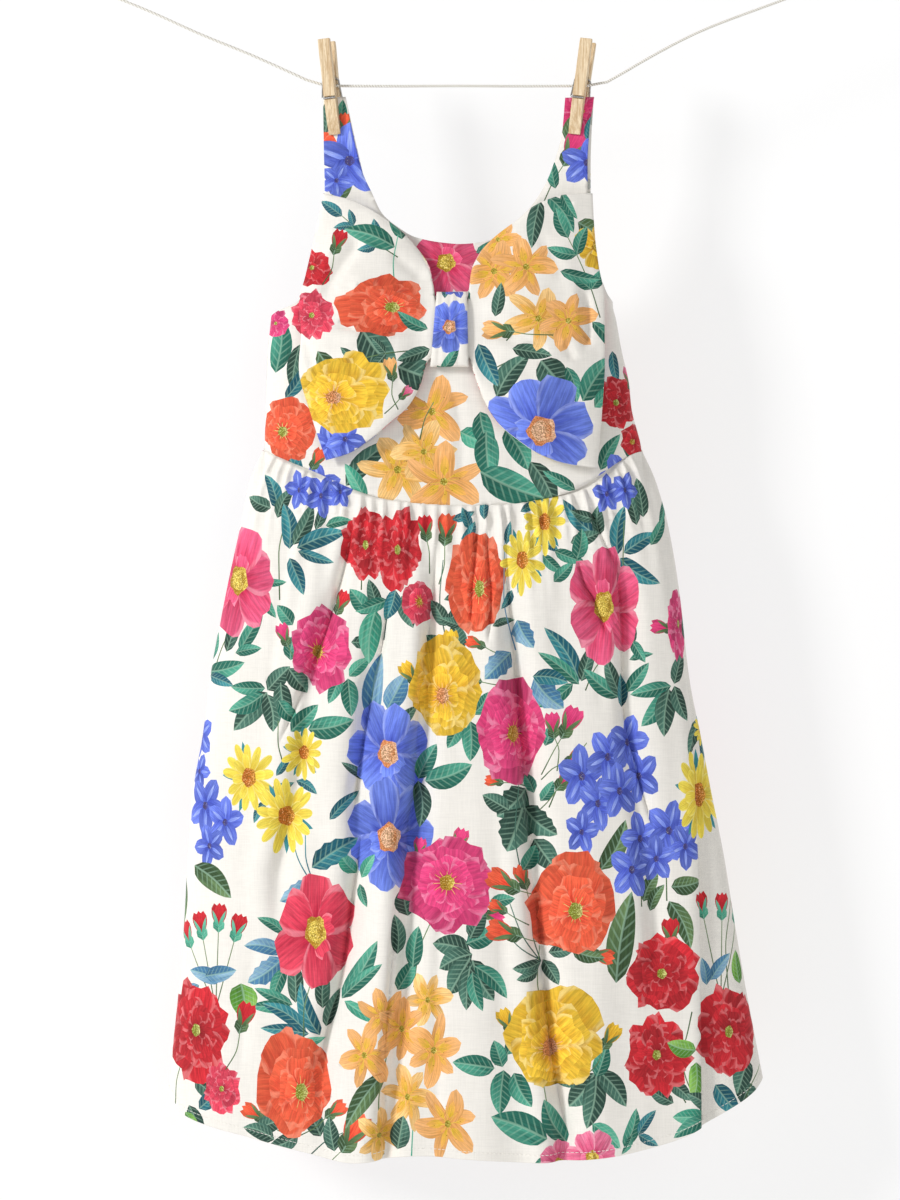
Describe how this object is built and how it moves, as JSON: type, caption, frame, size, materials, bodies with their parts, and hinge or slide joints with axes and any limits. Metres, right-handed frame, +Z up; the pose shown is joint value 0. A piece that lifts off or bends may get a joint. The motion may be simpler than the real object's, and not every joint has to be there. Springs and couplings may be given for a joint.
{
  "type": "mini dress on a clothesline with pegs",
  "caption": "Sleeveless mini dress with a big flat bow and a gathered skirt, pegged by its straps to a length of line.",
  "frame": {"origin": "middle of the level stretch of line between the two pegs, which holds the dress up", "axes": "+Z up, the dress's front faces -Y, +X is to the right as seen from the front"},
  "size_m": [0.5929, 0.1006, 0.893],
  "materials": {
    "printed_cotton": "smooth woven cotton, ivory with a large printed garden-flower pattern",
    "peg_wood": "pale bare birch, straight fine grain",
    "spring_steel": "bright drawn spring wire",
    "line_cord": "off-white twisted cotton line"
  },
  "bodies": {
    "root": {"bodice_front": "printed_cotton", "bodice_back": "printed_cotton", "skirt_front": "printed_cotton", "skirt_back": "printed_cotton", "bow_left": "printed_cotton", "bow_right": "printed_cotton", "bow_knot": "printed_cotton", "peg_left_front": "peg_wood", "peg_left_rear": "peg_wood", "peg_right_front": "peg_wood", "peg_right_rear": "peg_wood", "spring_left": "spring_steel", "spring_right": "spring_steel", "line": "line_cord", "line_loop_left": "line_cord", "line_loop_right": "line_cord"}
  },
  "joints": []
}
